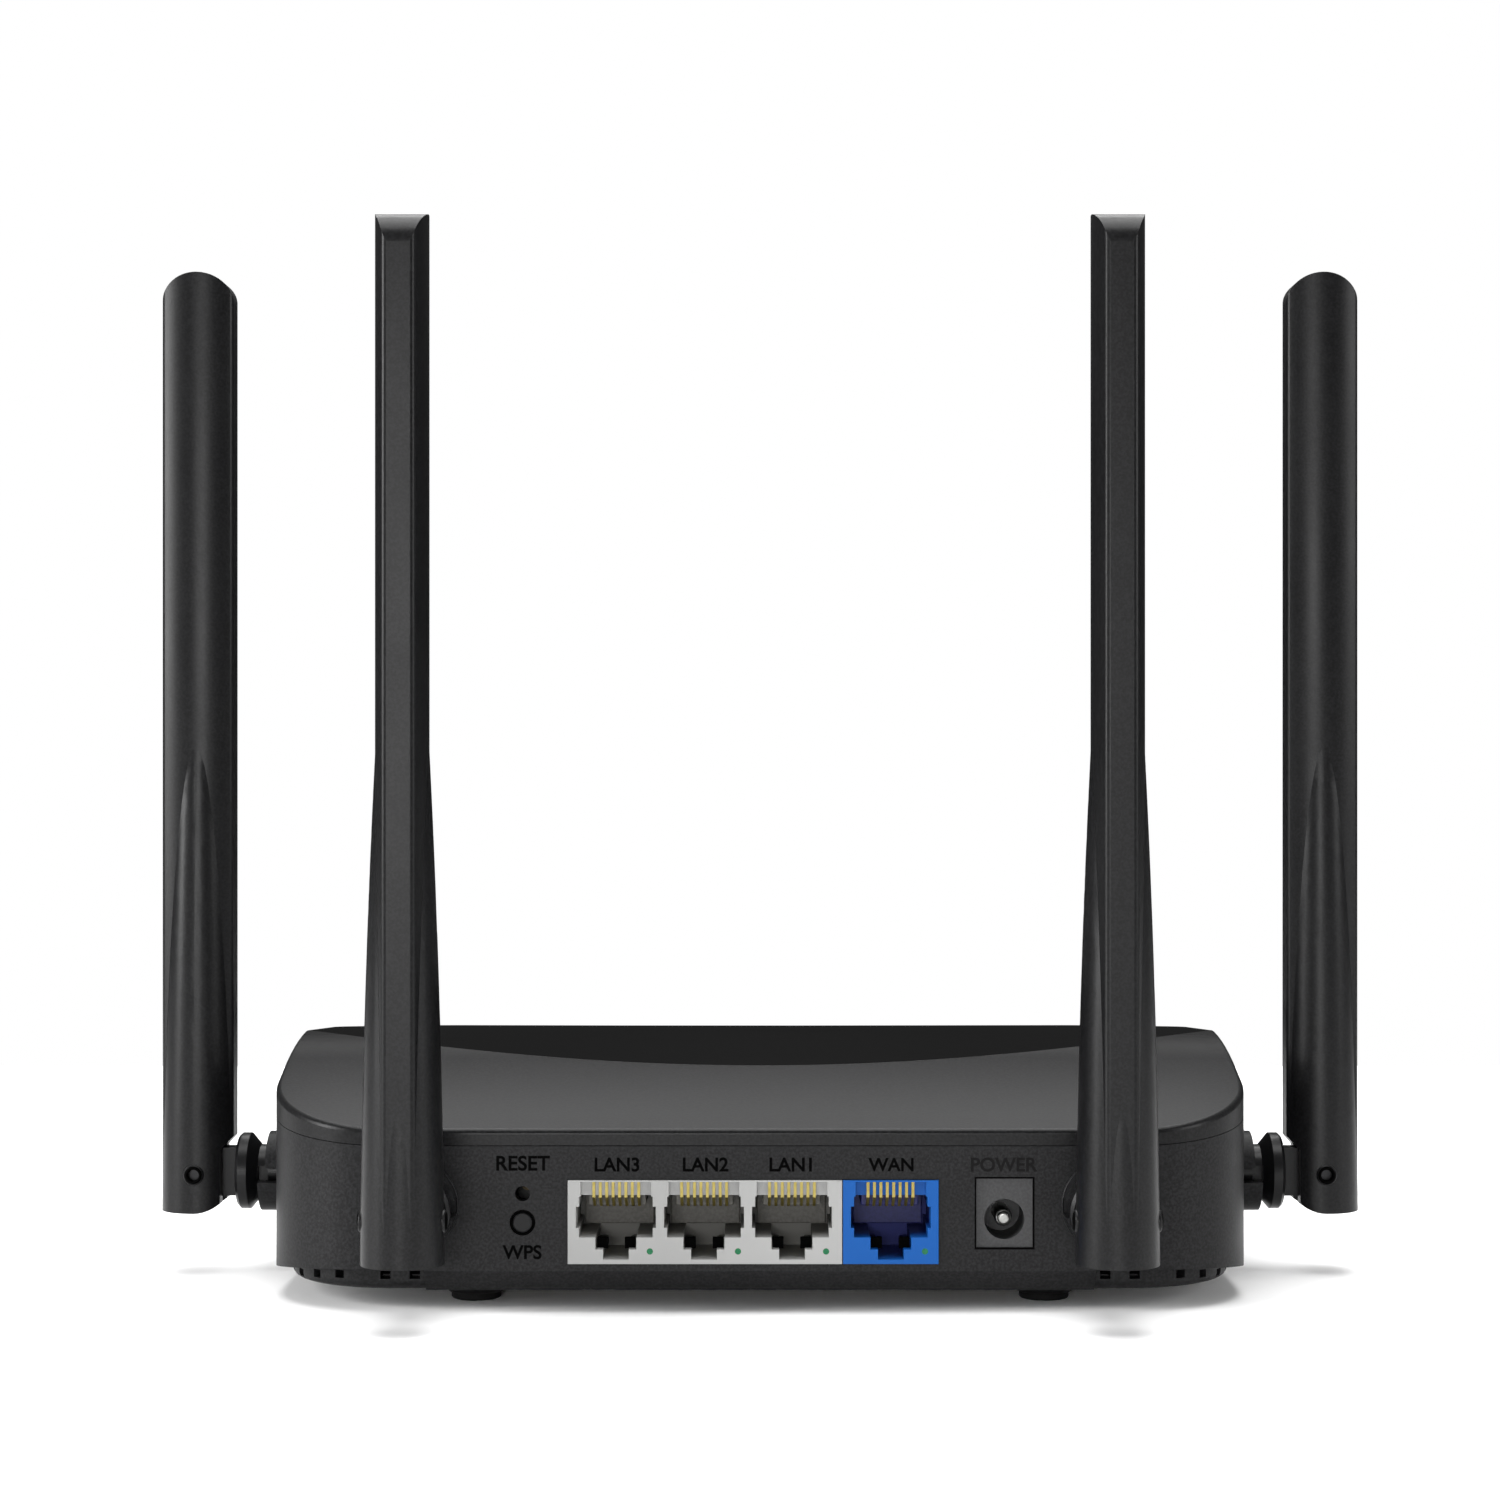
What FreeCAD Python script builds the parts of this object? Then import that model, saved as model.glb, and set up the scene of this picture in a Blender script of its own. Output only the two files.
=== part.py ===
import FreeCAD, Part
import math
import os
from types import SimpleNamespace

import Sketcher
from FreeCAD import Placement, Rotation, Vector

# A four-antenna wireless router, in millimetres. +Z is up and the ports face -Y. The origin is on the surface
# that the feet stand on, under the middle of the whole object's box.

doc = FreeCAD.newDocument("router")

# --------------------------------------------------------------------------------------------------
# Driving dimensions
# --------------------------------------------------------------------------------------------------

SIZES = {
    # housing: plan outline, wall and levels
    "half_width": 79.85,
    "rear_y": -40.0,
    "front_y": 63.05,
    "rear_round": 21.0,
    "front_round": 23.0,
    "wall": 2.0,
    "base_z": 3.3,
    "floor_z": 5.3,
    "overhang_z": 6.7,
    "wall_rear_z": 7.1,
    "wall_low_y": -11.0,
    "board_z": 7.9,
    "plinth_inset": 2.75,
    "plinth_round": 1.4,
    "skirt_half": 53.3,
    "form_top": 60.0,
    "edge_round": 0.9,
    # housing: rear slope, dished front face and seam
    "slope_rear_z": 29.1,
    "slope_rise": 0.28,
    "slope_end_y": -14.0,
    "brow_round": 110.0,
    "dish_mid_z": 36.6,
    "dish_side_z": 44.4,
    "dish_front_z": 36.8,
    "roof": 2.1,
    "seam_rear_z": 26.5,
    "seam_mid_y": 5.0,
    "seam_mid_z": 33.6,
    "seam_front_z": 27.0,
    "seam_gap": 0.12,
    "lip": 1.2,
    "lip_gap": 0.1,
    "lip_drop": 1.5,
    # vents
    "vent_width": 1.67,
    "vent_low_z": 5.0,
    "vent_high_z": 6.3,
    "vent_pitch": 4.7,
    "vent_first_x": 55.1,
    "floor_vent_length": 17.0,
    "floor_vent_pitch": 6.0,
    # feet and fasteners
    "foot_x": 46.4,
    "foot_rear_y": -25.0,
    "foot_front_y": 45.0,
    "foot_radius": 4.05,
    "foot_z": 1.15,
    "foot_spigot": 2.6,
    "foot_boss_radius": 7.4,
    "post_x": 68.0,
    "post_rear_y": -24.0,
    "post_front_y": 44.0,
    "post_radius": 3.4,
    "post_z": 23.0,
    "screw_radius": 1.25,
    "screw_head": 2.4,
    "screw_seat_z": 7.6,
    "board_screw_x": 56.0,
    "board_screw_rear_y": -12.0,
    "board_screw_front_y": 38.0,
    # circuit board
    "board_half": 60.0,
    "board_rear_y": -34.5,
    "board_front_y": 54.0,
    "board_thick": 1.6,
    # network sockets
    "port_pitch": 13.97,
    "port_mid_x": -8.9,
    "wan_x": 20.75,
    "jack_front_y": -40.4,
    "jack_rear_y": -18.3,
    "jack_top_z": 21.15,
    "lan_low_x": -30.5,
    "lan_high_x": 13.0,
    "wan_low_x": 13.15,
    "wan_high_x": 28.3,
    "cavity_top_z": 18.6,
    "cavity_half": 5.85,
    "notch_half": 6.35,
    "notch_high_z": 17.0,
    "notch_low_z": 13.6,
    "shoulder_z": 12.1,
    "tab_half": 3.25,
    "tab_z": 10.2,
    "latch_half": 2.05,
    "latch_z": 8.6,
    "cavity_deep": 15.0,
    "ledge_half": 5.6,
    "ledge_deep": 1.8,
    "contact_pitch": 1.02,
    "contact_width": 0.46,
    "contact_thick": 0.3,
    "contact_end_y": -35.4,
    "contact_end_z": 16.5,
    "lamp_shift_x": 5.4,
    "lamp_z": 9.9,
    "lamp_radius": 0.5,
    "lamp_length": 7.0,
    # power inlet
    "inlet_x": 38.8,
    "inlet_half": 4.5,
    "inlet_low_z": 10.4,
    "inlet_high_z": 21.4,
    "inlet_axis_z": 14.9,
    "inlet_bore": 3.2,
    "inlet_front_y": -39.5,
    "inlet_bore_end_y": -30.2,
    "inlet_rear_y": -25.5,
    "inlet_pin": 1.05,
    "inlet_pin_root": 0.7,
    "inlet_pin_gap": 0.3,
    # buttons
    "button_x": -37.7,
    "button_z": 14.4,
    "button_radius": 1.62,
    "button_hole": 2.05,
    "button_face_y": -40.15,
    "reset_z": 19.0,
    "reset_hole": 1.2,
    "reset_plunger_radius": 1.0,
    # antenna: axes and paddle, in a frame of its own with +Y towards the housing
    "hinge_z": 17.2,
    "antenna_out": 16.55,
    "rear_antenna_x": 54.8,
    "side_antenna_y": 1.0,
    "antenna_half_thick": 4.1,
    "antenna_half_width": 6.1,
    "antenna_back_y": 6.5,
    "antenna_land": 2.35,
    "crease_round": 1.0,
    "antenna_low_z": 10.6,
    "antenna_high_z": 171.3,
    "antenna_arch": 5.0,
    "pin_y": 0.0,
    "heel_round": 6.6,
    "relief_y": 4.2,
    "relief_low_z": 21.3,
    "relief_high_z": 23.3,
    "flare_low_radius": 6.45,
    "flare_high_radius": 4.1,
    "flare_high_z": 90.0,
    "flare_curve": 1900.0,
    # antenna hinge
    "fork_half": 2.1,
    "fork_gap": 0.2,
    "tongue_radius": 4.1,
    "pin_radius": 1.25,
    "pin_fit": 0.05,
    "pin_half": 5.3,
    "collar_y": 6.9,
    "collar_radius": 6.5,
    "collar_end_y": 8.9,
    "neck_radius": 4.5,
    "neck_y": 10.6,
    "boss_y": 12.15,
    "boss_radius": 6.8,
    "boss_gap": 0.25,
    "boss_slot": 2.6,
    "stub_radius": 3.5,
    "stub_fit": 0.05,
    "stub_end_y": 20.5,
    "lead_radius": 0.6,
}

dims = doc.addObject("Spreadsheet::Sheet", "dims")
for row, (alias, number) in enumerate(SIZES.items(), start=1):
    dims.set(f"A{row}", str(number))
    dims.setAlias(f"A{row}", alias)
doc.recompute()


class Size:
    """A length read from the sheet, or worked out from such lengths: its text goes into expressions."""

    def __init__(self, text, value):
        self.text = text
        self.value = value

    def with_sign(self, sign, other, value):
        return Size(f"({self.text} {sign} {text_of(other)})", value)

    def __add__(self, other):
        return self.with_sign("+", other, self.value + value_of(other))

    def __sub__(self, other):
        return self.with_sign("-", other, self.value - value_of(other))

    def __mul__(self, other):
        return self.with_sign("*", other, self.value * value_of(other))

    def __truediv__(self, other):
        return self.with_sign("/", other, self.value / value_of(other))

    def __neg__(self):
        return Size(f"(0 - {self.text})", -self.value)

    def __radd__(self, other):
        return self + other

    def __rsub__(self, other):
        return -self + other

    def __rmul__(self, other):
        return self * other


def text_of(size):
    return size.text if isinstance(size, Size) else repr(float(size))


def value_of(size):
    return size.value if isinstance(size, Size) else float(size)


d = SimpleNamespace(**{alias: Size(f"dims.{alias}", float(dims.get(alias))) for alias in SIZES})

# --------------------------------------------------------------------------------------------------
# Ways of making a piece
# --------------------------------------------------------------------------------------------------

TURNS = {
    "X": Rotation(Vector(0, 1, 0), 90),
    "Y": Rotation(Vector(1, 0, 0), -90),
    "Z": Rotation(),
    "-Z": Rotation(Vector(1, 0, 0), 180),
}


def bind(piece, name, size):
    piece.setExpression(name, text_of(size))


def put(piece, x, y, z, turn=None):
    """Gives a piece its place, bound to the sheet, and optionally a turn."""
    piece.Placement = Placement(Vector(0, 0, 0), turn or Rotation())
    for name, size in (("x", x), ("y", y), ("z", z)):
        bind(piece, f"Placement.Base.{name}", size)
    return piece


def block(name, x, y, z):
    """A box from (low, high) pairs along X, Y and Z."""
    piece = doc.addObject("Part::Box", name)
    for side, (low, high) in (("Length", x), ("Width", y), ("Height", z)):
        bind(piece, side, high - low if isinstance(high, Size) else -(low - high))
    return put(piece, x[0], y[0], z[0])


def rod(name, axis, radius, along, across):
    """A cylinder along an axis, between two levels, centred on the other two coordinates in X, Y, Z order."""
    piece = doc.addObject("Part::Cylinder", name)
    bind(piece, "Radius", radius)
    low, high = along
    bind(piece, "Height", high - low if isinstance(high, Size) else -(low - high))
    place = list(across)
    place.insert("XYZ".index(axis), low)
    return put(piece, *place, TURNS[axis])


def joined(name, *pieces):
    whole = doc.addObject("Part::MultiFuse", name)
    whole.Shapes = list(pieces)
    whole.Refine = True
    return whole


def shared(name, *pieces):
    whole = doc.addObject("Part::MultiCommon", name)
    whole.Shapes = list(pieces)
    return whole


def cut(name, base, *tools):
    whole = doc.addObject("Part::Cut", name)
    whole.Base = base
    whole.Tool = tools[0] if len(tools) == 1 else joined(f"{name}_tools", *tools)
    return whole


def group(name, *pieces):
    """Several solids, or a copy of one, as one piece with a place of its own."""
    whole = doc.addObject("Part::Compound", name)
    whole.Links = list(pieces)
    return whole


def outline_edges(sketch, outline, arcs):
    """Draws a closed outline whose corners are bound to the sheet. arcs gives the radius of each edge that is
    an arc, by the number of its first corner: positive turns left, negative turns right."""
    points = [Vector(value_of(a), value_of(b), 0) for a, b in outline]
    ends = []
    for i, start in enumerate(points):
        end = points[(i + 1) % len(points)]
        if i in arcs:
            radius = abs(value_of(arcs[i]))
            left = value_of(arcs[i]) > 0
            first, last = (start, end) if left else (end, start)
            chord = last - first
            rise = math.sqrt(max(radius**2 - chord.Length**2 / 4, 0))
            centre = (first + last) * 0.5 + Vector(-chord.y, chord.x, 0).normalize() * rise
            begin = math.atan2(first.y - centre.y, first.x - centre.x)
            finish = math.atan2(last.y - centre.y, last.x - centre.x)
            circle = Part.Circle(centre, Vector(0, 0, 1), radius)
            last_angle = finish if finish > begin else finish + math.tau
            edge = sketch.addGeometry(Part.ArcOfCircle(circle, begin, last_angle))
            ends.append((edge, 1, 2) if left else (edge, 2, 1))
            number = sketch.addConstraint(Sketcher.Constraint("Radius", edge, radius))
            sketch.setExpression(f"Constraints[{number}]", text_of(arcs[i] if left else -arcs[i]))
        else:
            ends.append((sketch.addGeometry(Part.LineSegment(start, end)), 1, 2))
    for i, (edge, _, tail) in enumerate(ends):
        following, head, _ = ends[(i + 1) % len(ends)]
        sketch.addConstraint(Sketcher.Constraint("Coincident", edge, tail, following, head))
    for (edge, head, _), (a, b), point in zip(ends, outline, points):
        for kind, size, value in (("DistanceX", a, point.x), ("DistanceY", b, point.y)):
            number = sketch.addConstraint(Sketcher.Constraint(kind, -1, 1, edge, head, value))
            sketch.setExpression(f"Constraints[{number}]", text_of(size))


def body_sketch(name, plane, outline, arcs):
    body = doc.addObject("PartDesign::Body", name)
    sketch = body.newObject("Sketcher::SketchObject", f"{name}_sketch")
    base = next(item for item in body.Origin.OriginFeatures if item.Role == plane)
    sketch.AttachmentSupport = (base, "")
    sketch.MapMode = "FlatFace"
    outline_edges(sketch, outline, arcs or {})
    return body, sketch


def padded(name, plane, outline, low, high, arcs=None):
    """An outline on an origin plane, padded between two levels along the third axis."""
    body, sketch = body_sketch(name, plane, outline, arcs)
    bind(sketch, "AttachmentOffset.Base.z", -high if plane == "XZ_Plane" else low)
    pad = body.newObject("PartDesign::Pad", f"{name}_pad")
    pad.Profile = sketch
    bind(pad, "Length", high - low)
    body.Tip = pad
    return body


def turned(name, outline, arcs=None):
    """An outline of (radius, height) points, turned about the upright axis."""
    body, sketch = body_sketch(name, "XZ_Plane", outline, arcs)
    spin = body.newObject("PartDesign::Revolution", f"{name}_spin")
    spin.Profile = sketch
    spin.ReferenceAxis = (sketch, ["V_Axis"])
    spin.Angle = 360
    body.Tip = spin
    return body


NODES = []


def node(piece, label=None):
    """Keeps a finished sub-part for export under its label."""
    piece.Label = label or piece.Name
    NODES.append(piece)
    return piece


# --------------------------------------------------------------------------------------------------
# Housing
# --------------------------------------------------------------------------------------------------

EAST_WEST = (-1, 1)


def outline_plate(name, inset, low, high):
    """The housing's rounded plan outline, drawn in by an inset, between two levels."""
    side = d.half_width - inset
    rear = d.rear_y + inset
    front = d.front_y - inset
    rear_round = d.rear_round - inset
    front_round = d.front_round - inset
    corners = [
        (rear_round - side, rear),
        (side - rear_round, rear),
        (side, rear + rear_round),
        (side, front - front_round),
        (side - front_round, front),
        (front_round - side, front),
        (-side, front - front_round),
        (-side, rear + rear_round),
    ]
    arcs = {1: rear_round, 3: front_round, 5: front_round, 7: rear_round}
    return padded(name, "XY_Plane", corners, low, high, arcs)


def side_profile(name, levels, ground, arcs=None):
    """A prism across the whole width, under or over a line of (y, z) levels that runs from rear to front."""
    outline = [(levels[0][0], ground), (levels[-1][0], ground)] + levels[::-1]
    if value_of(ground) > value_of(levels[0][1]):
        outline = outline[::-1]
    return padded(name, "YZ_Plane", outline, -d.half_width - 2, d.half_width + 2, arcs)


def dish_section(name, y, side_z, sag, drop):
    """One end of the dished front face: an upright outline whose top is an arc, or straight without a sag."""
    sketch = doc.addObject("Sketcher::SketchObject", name)
    half = d.half_width + 1
    outline = [(-half, Size("0", 0)), (half, Size("0", 0)), (half, side_z - drop), (-half, side_z - drop)]
    arcs = {}
    if sag is not None:
        arcs[2] = -(half * half + sag * sag) / (2 * sag)
    outline_edges(sketch, outline, arcs)
    return put(sketch, 0, y, 0, Rotation(Vector(1, 0, 0), 90))


def housing_form(name, inset, drop, low):
    """The housing's solid form: the plan outline under the rear slope, which curves over into a brow, and under
    the dished front face."""
    plate = outline_plate(f"{name}_plate", inset, low, d.form_top)
    behind = d.rear_y - 1
    ahead = d.front_y + 1
    rise = d.slope_rear_z + d.slope_rise * (d.slope_end_y - d.rear_y) - drop
    crest = rise + d.brow_round * d.slope_rise * d.slope_rise / 2
    crest_y = d.slope_end_y + d.brow_round * d.slope_rise
    slope = side_profile(
        f"{name}_slope",
        [
            (behind, d.slope_rear_z - d.slope_rise - drop),
            (d.slope_end_y, rise),
            (crest_y, crest),
            (ahead, crest),
        ],
        Size("0", 0),
        {3: d.brow_round},
    )
    dish = doc.addObject("Part::Loft", f"{name}_dish")
    sag = d.dish_side_z - d.dish_mid_z
    dish.Sections = [
        dish_section(f"{name}_dish_rear", behind, d.dish_side_z, sag, drop),
        dish_section(f"{name}_dish_front", ahead, d.dish_front_z, None, drop),
    ]
    dish.Solid = True
    dish.Ruled = True
    return shared(name, plate, slope, dish)


def seam_line(shift):
    return [
        (d.rear_y - 1, d.seam_rear_z + shift),
        (d.seam_mid_y, d.seam_mid_z + shift),
        (d.front_y + 1, d.seam_front_z + shift),
    ]


def antenna_sites():
    """Each antenna's name, place and the turn that points its own +Y at the housing."""
    rear_y = d.rear_y - d.antenna_out
    side_x = d.half_width + d.antenna_out
    return [
        ("rear_left", -d.rear_antenna_x, rear_y, 0),
        ("rear_right", d.rear_antenna_x, rear_y, 0),
        ("side_left", -side_x, d.side_antenna_y, -90),
        ("side_right", side_x, d.side_antenna_y, 90),
    ]


def placed(name, source, x, y, angle):
    """A copy of a piece made in the antenna's own frame, at one antenna's place."""
    return put(group(name, source), x, y, 0, Rotation(Vector(0, 0, 1), angle))


def at_antennas(name, source):
    return [placed(f"{name}_{site}", source, x, y, angle) for site, x, y, angle in antenna_sites()]


def antenna_boss():
    """The fixed boss on the wall that the antenna's stub turns in, with a half cradle under the neck."""
    centre = (0, d.hinge_z)
    barrel = rod("boss_barrel", "Y", d.boss_radius, (d.boss_y, d.antenna_out + 1), centre)
    ring = rod("cradle_ring", "Y", d.boss_radius, (d.neck_y + d.boss_gap, d.boss_y + 0.5), centre)
    throat = rod("cradle_throat", "Y", d.neck_radius + d.boss_gap, (d.neck_y, d.boss_y), centre)
    upper = block(
        "cradle_upper",
        (-d.boss_radius, d.boss_radius),
        (d.neck_y, d.boss_y),
        (d.hinge_z, d.hinge_z + 8),
    )
    gaps = []
    for i, (low_x, high_x) in enumerate(((-8.0, -3.2), (3.2, 8.0))):
        sides = (Size(repr(low_x), low_x), Size(repr(high_x), high_x))
        level = (d.hinge_z - d.boss_slot / 2, d.hinge_z + d.boss_slot / 2)
        gaps.append(block(f"boss_gap_{i}", sides, (d.neck_y, d.antenna_out - 0.3), level))
    return cut("antenna_boss", joined("boss_solid", barrel, cut("cradle", ring, throat, upper)), *gaps)


def rear_vents():
    """Slots in the plinth under the overhang, along the rear and round both rear corners. Round the corners they
    follow the wall's lower edge down."""
    deep = d.plinth_inset + d.wall + 1
    across = (-d.vent_width / 2, d.vent_width / 2)
    straight = block("vent_straight", across, (d.rear_y, d.rear_y + deep), (d.vent_low_z, d.vent_high_z))
    round_corner = [(28.0, 0.2), (43.5, 0.6), (59.5, 1.1), (75.0, 1.4)]
    slots = []
    for i, (_, lower) in enumerate(round_corner):
        level = (d.vent_low_z - lower, d.vent_high_z - lower)
        slots.append(block(f"vent_corner_{i}", across, (-d.rear_round, -d.rear_round + deep), level))
    copies = []
    for hand in EAST_WEST:
        side = "left" if hand < 0 else "right"
        for j in range(2):
            place = group(f"vent_{side}_straight_{j}", straight)
            copies.append(put(place, hand * (d.vent_first_x + d.vent_pitch * j), 0, 0))
        for j, (angle, _) in enumerate(round_corner):
            place = group(f"vent_{side}_corner_{j}", slots[j])
            turn = Rotation(Vector(0, 0, 1), hand * angle)
            copies.append(put(place, hand * (d.half_width - d.rear_round), d.rear_y + d.rear_round, 0, turn))
    return copies


def floor_vents():
    slots = []
    for row, low_y in enumerate((-2.0, 22.0)):
        for column in range(-5, 6):
            x = d.floor_vent_pitch * column
            slots.append(
                block(
                    f"vent_floor_{row}_{column + 5}",
                    (x - d.vent_width / 2, x + d.vent_width / 2),
                    (Size(repr(low_y), low_y), d.floor_vent_length + low_y),
                    (d.base_z - 1, d.floor_z + 1),
                )
            )
    return slots


def at_corners(name, source, x, rear_y, front_y):
    """Copies of a piece at four places: left and right, rear and front."""
    copies = []
    for i, hand in enumerate(EAST_WEST):
        for j, y in enumerate((rear_y, front_y)):
            copies.append(put(group(f"{name}_{i}_{j}", source), hand * x, y, 0))
    return copies


def at_posts(name, source):
    return at_corners(name, source, d.post_x, d.post_rear_y, d.post_front_y)


def at_board_screws(name, source):
    return at_corners(name, source, d.board_screw_x, d.board_screw_rear_y, d.board_screw_front_y)


def at_feet(name, source):
    return at_corners(name, source, d.foot_x, d.foot_rear_y, d.foot_front_y)


origin_axis = (0, 0)


def rounded_upper():
    """The housing above the slanting lower edge of its wall, with the rim and the crease of its top rounded."""
    whole = housing_form("outer_whole", Size("0", 0), Size("0", 0), d.base_z)
    low_edge = [(d.rear_y - 1, d.wall_rear_z), (d.wall_low_y, d.base_z), (d.front_y + 1, d.base_z)]
    sharp = shared("outer_sharp", whole, side_profile("above_low_edge", low_edge, d.form_top))
    doc.recompute()
    rim = []
    for i, edge in enumerate(sharp.Shape.Edges, start=1):
        middle = edge.valueAt((edge.FirstParameter + edge.LastParameter) / 2)
        along = edge.tangentAt((edge.FirstParameter + edge.LastParameter) / 2)
        if abs(along.z) < 0.9 and middle.z > d.seam_rear_z.value:
            rim.append((i, d.edge_round.value, d.edge_round.value))
    rounded = doc.addObject("Part::Fillet", "outer_upper")
    rounded.Base = sharp
    rounded.Edges = rim
    return rounded


outer_upper = rounded_upper()


def rounded_plinth():
    plinth = outline_plate("plinth", d.plinth_inset, d.base_z, d.overhang_z + 0.5)
    doc.recompute()
    pad = plinth.Tip
    low = d.base_z.value + 0.01
    edges = [f"Edge{i}" for i, edge in enumerate(pad.Shape.Edges, start=1) if edge.BoundBox.ZMax < low]
    fillet = plinth.newObject("PartDesign::Fillet", "plinth_fillet")
    fillet.Base = (pad, edges)
    bind(fillet, "Radius", d.plinth_round)
    plinth.Tip = fillet
    return plinth


def rear_skirt():
    """The sloped strip that fills the overhang below the sockets."""
    deep = d.rear_y + d.plinth_inset
    outline = [
        (d.rear_y, d.overhang_z),
        (deep - 0.2, d.base_z),
        (deep + 1.5, d.base_z),
        (deep + 1.5, d.overhang_z + 0.3),
    ]
    outline.append((d.rear_y, d.overhang_z + 0.3))
    return padded("rear_skirt", "YZ_Plane", outline, -d.skirt_half, d.skirt_half)


def bottom_shell():
    under_seam = side_profile("under_seam", seam_line(-d.seam_gap), Size("0", 0))
    outer_lower = shared("outer_lower", outer_upper, under_seam)
    foot_boss = turned(
        "foot_boss",
        [
            (Size("0", 0), d.foot_z),
            (d.foot_radius + 0.35, d.foot_z),
            (d.foot_boss_radius, d.base_z),
            (d.foot_boss_radius, d.base_z + 0.5),
            (Size("0", 0), d.base_z + 0.5),
        ],
    )
    foot_bosses = at_feet("foot_boss_at", foot_boss)
    solid = joined("shell_solid", outer_lower, rounded_plinth(), rear_skirt(), *foot_bosses)
    upper_room = outline_plate("shell_upper_room", d.wall, d.board_z, d.form_top)
    lower_room = outline_plate("shell_lower_room", d.plinth_inset + d.wall, d.floor_z, d.board_z + 1)
    hollow = cut("shell_hollow", solid, upper_room, lower_room)
    post = rod("base_post", "Z", d.post_radius, (d.floor_z - 1, d.post_z), origin_axis)
    standoff = rod("standoff", "Z", d.screw_head, (d.floor_z - 1, d.board_z - d.board_thick), origin_axis)
    full = joined(
        "shell_full",
        hollow,
        *at_posts("base_post_at", post),
        *at_board_screws("standoff_at", standoff),
        *at_antennas("boss", antenna_boss()),
    )
    through = (d.rear_y - 1, d.rear_y + d.wall + 1)
    tools = [
        block(
            "jack_opening",
            (d.lan_low_x - 0.1, d.wan_high_x + 0.1),
            through,
            (d.board_z, d.jack_top_z + 0.1),
        ),
        block(
            "inlet_opening",
            (d.inlet_x - d.inlet_half - 0.2, d.inlet_x + d.inlet_half + 0.2),
            through,
            (d.inlet_low_z - 0.2, d.inlet_high_z + 0.2),
        ),
        rod("button_opening", "Y", d.button_hole, through, (d.button_x, d.button_z)),
        rod("reset_opening", "Y", d.reset_hole, through, (d.button_x, d.reset_z)),
    ]
    stub_span = (d.boss_y - 1, d.antenna_out + 4)
    stub_bore = rod("stub_bore", "Y", d.stub_radius + d.stub_fit, stub_span, (0, d.hinge_z))
    tools += at_antennas("stub_bore_at", stub_bore)
    head_room = rod("head_room", "Z", d.screw_head + 0.2, (d.base_z - 1, d.screw_seat_z), origin_axis)
    shank_room = rod("shank_room", "Z", d.screw_radius + 0.1, (d.base_z, d.post_z + 1), origin_axis)
    tools += at_posts("case_screw_room", joined("case_screw_room", head_room, shank_room))
    pilot = rod("board_pilot", "Z", d.screw_radius, (d.base_z + 0.6, d.board_z), origin_axis)
    tools += at_board_screws("board_pilot_at", pilot)
    spigot_room = rod("spigot_room", "Z", d.foot_spigot, (d.foot_z - 1, d.foot_z + 1.2), origin_axis)
    tools += at_feet("spigot_room_at", spigot_room)
    tools += rear_vents()
    tools += floor_vents()
    node(cut("bottom_shell", full, *tools))


def top_cover():
    over_seam = side_profile("over_seam", seam_line(Size("0", 0)), d.form_top)
    solid = shared("cover_solid", outer_upper, over_seam)
    room = housing_form("cover_room", d.wall + d.lip_gap + d.lip, d.roof, d.floor_z)
    skin = cut("cover_skin", solid, room)
    band = shared(
        "lip_band",
        side_profile("lip_over", seam_line(-d.lip_drop), d.form_top),
        side_profile("lip_under", seam_line(Size("0.5", 0.5)), Size("0", 0)),
    )
    lip_outer = outline_plate("lip_outer", d.wall + d.lip_gap, d.floor_z, d.form_top)
    lip_inner = outline_plate("lip_inner", d.wall + d.lip_gap + d.lip, d.floor_z, d.form_top)
    lip = shared("cover_lip", cut("lip_ring", lip_outer, lip_inner), band)
    post = rod("cover_post", "Z", d.post_radius - 0.4, (d.post_z, d.form_top), origin_axis)
    posts = shared("cover_posts", group("cover_post_set", *at_posts("cover_post_at", post)), outer_upper)
    pilot = rod("cover_pilot", "Z", d.screw_radius, (d.post_z - 1, d.post_z + 9), origin_axis)
    bar_slot = block(
        "bar_slot",
        (-BAR_HALF - 0.1, BAR_HALF + 0.1),
        (BAR_Y - 0.7, BAR_Y + 0.7),
        (d.floor_z, d.form_top),
    )
    tools = at_posts("cover_pilot_at", pilot) + [bar_slot]
    node(cut("top_cover", joined("cover_full", skin, lip, posts), *tools))


BAR_HALF = Size("25", 25)
BAR_Y = Size("50", 50)


def light_parts():
    """The thin lamp strip in the cover, and the clear plate that carries light up to it from the board."""
    middle = (-BAR_HALF, BAR_HALF)
    bar = block("bar_block", middle, (BAR_Y - 0.65, BAR_Y + 0.65), (d.dish_front_z - 2.6, d.form_top))
    node(shared("light_bar", bar, outer_upper))
    narrow = (-BAR_HALF + 1, BAR_HALF - 1)
    node(block("light_guide", narrow, (BAR_Y - 0.5, BAR_Y + 0.5), (d.board_z + 1.3, d.dish_front_z - 2.6)))
    lamp_sides = (Size("-0.8", -0.8), Size("0.8", 0.8))
    lamp = block("lamp", lamp_sides, (BAR_Y - 0.5, BAR_Y + 0.5), (d.board_z, d.board_z + 1))
    lamps = [put(group(f"lamp_{i}", lamp), 10 * (i - 2), 0, 0) for i in range(5)]
    node(group("status_leds", *lamps))


# --------------------------------------------------------------------------------------------------
# Feet and screws
# --------------------------------------------------------------------------------------------------


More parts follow.
